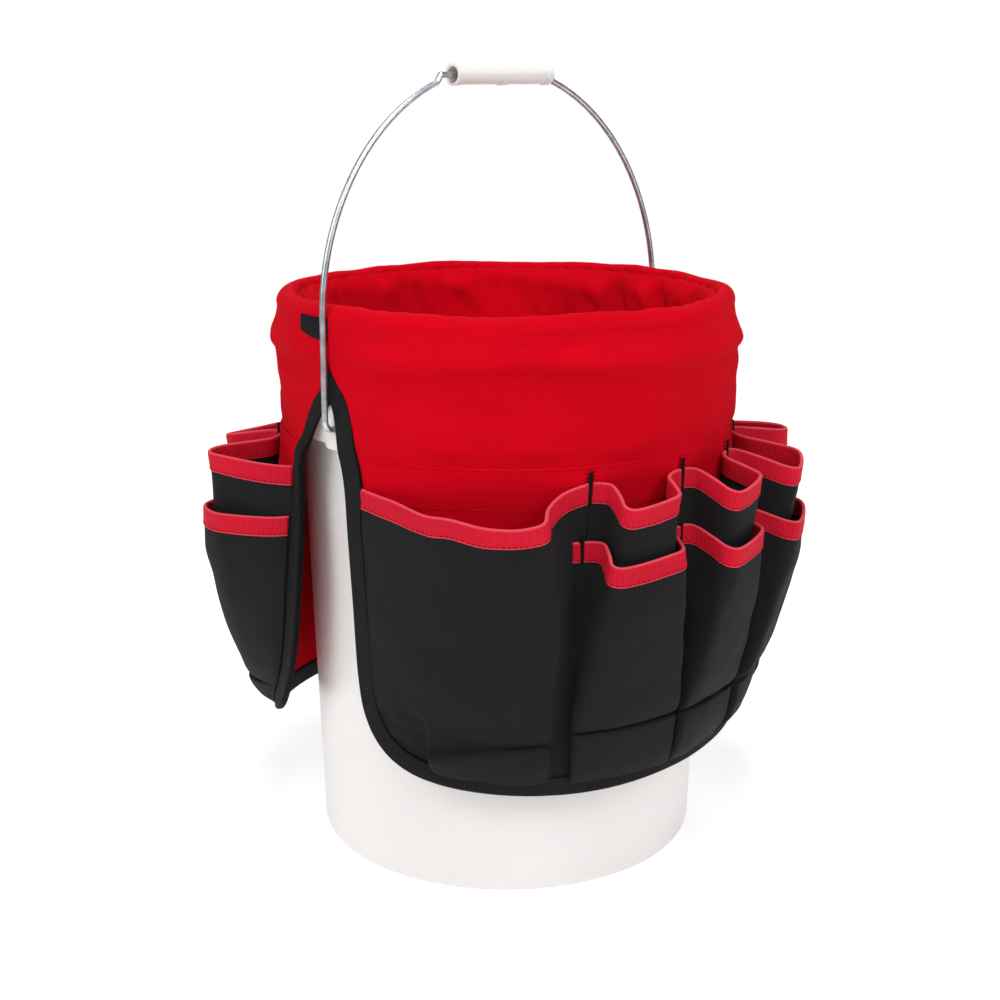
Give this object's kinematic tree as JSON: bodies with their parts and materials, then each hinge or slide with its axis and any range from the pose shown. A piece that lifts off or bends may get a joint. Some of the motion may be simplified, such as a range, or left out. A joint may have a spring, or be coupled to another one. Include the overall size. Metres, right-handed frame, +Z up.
{
  "type": "tool bucket organizer",
  "caption": "Open bucket with a swinging wire bail and grip, wearing a fabric sleeve that folds over the rim and hangs two aprons of bound tool pockets.",
  "frame": {"origin": "centre of the bucket's base, on the surface it stands on", "axes": "+Z up, towards the grip; the bail's pivot axis is along X; the front apron faces -Y"},
  "size_m": [0.3398, 0.3614, 0.5222],
  "materials": {
    "bucket_plastic": "semi-matte moulded polyethylene",
    "grip_plastic": "semi-gloss moulded polyethylene",
    "bail_wire": "zinc-plated wire",
    "red_fabric": "fine woven polyester",
    "black_fabric": "fine woven polyester",
    "red_binding": "ribbed grosgrain tape",
    "black_webbing": "ribbed grosgrain tape",
    "black_thread": "dense zigzag stitching"
  },
  "bodies": {
    "root": {"bucket_shell": "bucket_plastic", "rim_sleeve": "red_fabric", "rim_liner": "red_fabric", "near_strap_tab": "black_webbing", "far_strap_tab": "black_webbing", "front_panel": "red_fabric", "front_base_panel": "black_fabric", "front_edge_binding": "black_webbing", "front_bar_tacks": "black_thread", "front_tall_binding": "red_binding", "front_low_binding": "red_binding", "front_wide_pocket": "black_fabric", "front_tall_pocket_1": "black_fabric", "front_tall_pocket_2": "black_fabric", "front_tall_pocket_3": "black_fabric", "front_tall_pocket_4": "black_fabric", "front_low_pocket_1": "black_fabric", "front_low_pocket_2": "black_fabric", "front_low_pocket_3": "black_fabric", "front_low_pocket_4": "black_fabric", "back_panel": "red_fabric", "back_base_panel": "black_fabric", "back_edge_binding": "black_webbing", "back_bar_tacks": "black_thread", "back_tall_binding": "red_binding", "back_low_binding": "red_binding", "back_wide_pocket": "black_fabric", "back_tall_pocket_1": "black_fabric", "back_tall_pocket_2": "black_fabric", "back_tall_pocket_3": "black_fabric", "back_tall_pocket_4": "black_fabric", "back_low_pocket_1": "black_fabric", "back_low_pocket_2": "black_fabric", "back_low_pocket_3": "black_fabric", "back_low_pocket_4": "black_fabric"},
    "bail": {"bail_wire": "bail_wire"},
    "grip": {"bail_grip": "grip_plastic"}
  },
  "joints": [
    {"name": "bail_swing", "type": "hinge", "parent": "root", "child": "bail", "pos_m": [0, 0, 0.303], "axis": [1, 0, 0], "range_deg": [-93, 98]},
    {"name": "grip_spin", "type": "hinge", "parent": "bail", "child": "grip", "pos_m": [0, 0.00927, 0.5153], "axis": [1, 0, 0], "continuous": true}
  ]
}
